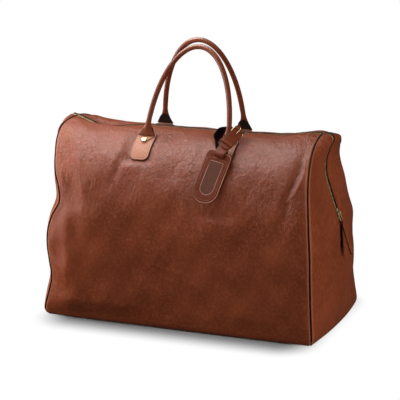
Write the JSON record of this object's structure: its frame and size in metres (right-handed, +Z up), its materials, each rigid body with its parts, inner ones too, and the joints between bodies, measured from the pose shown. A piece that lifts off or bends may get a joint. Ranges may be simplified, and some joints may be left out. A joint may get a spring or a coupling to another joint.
{
  "type": "leather travel bag",
  "caption": "Soft leather carryall with a flat base, rounded shoulders, a zip over the top and down both ends, rolled grab handles on stitched tabs, and a buckled luggage tag.",
  "frame": {"origin": "middle of the underside of the base panel, on the floor", "axes": "+X along the bag towards the end with the zip pull, -Y the front with the luggage tag, +Z up"},
  "size_m": [0.5677, 0.2899, 0.5164],
  "materials": {
    "body_leather": "oiled pull-up leather, semi-matt",
    "trim_leather": "lighter vegetable-tanned leather",
    "handle_leather": "rolled oiled leather",
    "tag_leather": "dark tan leather with burnished edges",
    "black_leather": "matt black split leather",
    "lining_cloth": "plain woven cotton",
    "zip_tape": "woven zip tape",
    "zip_metal": "antiqued brass",
    "stud_brass": "polished brass",
    "stiffener_board": "stiff fibre board",
    "rope_core": "cotton rope"
  },
  "bodies": {
    "bag": {"front_panel": "body_leather", "rear_panel": "body_leather", "left_gusset": "body_leather", "right_gusset": "body_leather", "front_left_welt": "body_leather", "front_right_welt": "body_leather", "rear_left_welt": "body_leather", "rear_right_welt": "body_leather", "base_panel": "body_leather", "base_board": "stiffener_board", "lining": "lining_cloth", "front_zip_tape": "zip_tape", "rear_zip_tape": "zip_tape", "front_zip_teeth": "zip_metal", "rear_zip_teeth": "zip_metal", "left_zip_stop": "zip_metal", "right_zip_stop": "zip_metal", "front_left_tab": "trim_leather", "front_right_tab": "trim_leather", "rear_left_tab": "trim_leather", "rear_right_tab": "trim_leather", "front_left_tongue": "trim_leather", "front_right_tongue": "trim_leather", "rear_left_tongue": "trim_leather", "rear_right_tongue": "trim_leather", "front_left_stud": "stud_brass", "front_right_stud": "stud_brass", "rear_left_stud": "stud_brass", "rear_right_stud": "stud_brass", "front_left_washer": "stud_brass", "front_right_washer": "stud_brass", "rear_left_washer": "stud_brass", "rear_right_washer": "stud_brass", "tag_strap": "tag_leather", "strap_keeper": "tag_leather", "tag_buckle": "stud_brass"},
    "front_handle": {"front_handle": "handle_leather", "front_handle_core": "rope_core", "front_left_facing": "black_leather", "front_right_facing": "black_leather"},
    "rear_handle": {"rear_handle": "handle_leather", "rear_handle_core": "rope_core", "rear_left_facing": "black_leather", "rear_right_facing": "black_leather"},
    "slider": {"zip_slider": "zip_metal"},
    "bail": {"pull_bail": "zip_metal"},
    "pull": {"zip_pull": "trim_leather"},
    "tag": {"tag_front": "tag_leather", "tag_back": "tag_leather"},
    "prong": {"buckle_prong": "stud_brass"}
  },
  "joints": [
    {"name": "front_handle_fold", "type": "hinge", "parent": "bag", "child": "front_handle", "pos_m": [-0.003, -0.06877, 0.34707], "axis": [1, 0, 0], "range_deg": [0, 40]},
    {"name": "rear_handle_fold", "type": "hinge", "parent": "bag", "child": "rear_handle", "pos_m": [-0.0187, 0.06425, 0.34293], "axis": [-1, 0, 0], "range_deg": [0, 108]},
    {"name": "slider_travel", "type": "slide", "parent": "bag", "child": "slider", "axis": [-0.3254, 0, 0.9456], "range_m": [0, 0.055]},
    {"name": "bail_swing", "type": "hinge", "parent": "slider", "child": "bail", "pos_m": [0.26854, 0, 0.21711], "axis": [0, -1, 0], "range_deg": [0, 80]},
    {"name": "pull_swing", "type": "hinge", "parent": "bail", "child": "pull", "pos_m": [0.27388, 0, 0.20203], "axis": [0, -1, 0], "range_deg": [-8, 60]},
    {"name": "tag_swing", "type": "hinge", "parent": "bag", "child": "tag", "pos_m": [0.0748, -0.10217, 0.32987], "axis": [-0.9767, 0.0995, 0.1903], "range_deg": [0, 60]},
    {"name": "prong_swing", "type": "hinge", "parent": "bag", "child": "prong", "pos_m": [0.09305, -0.07109, 0.36176], "axis": [0.7685, 0.1002, -0.6319], "range_deg": [0, 70]}
  ]
}
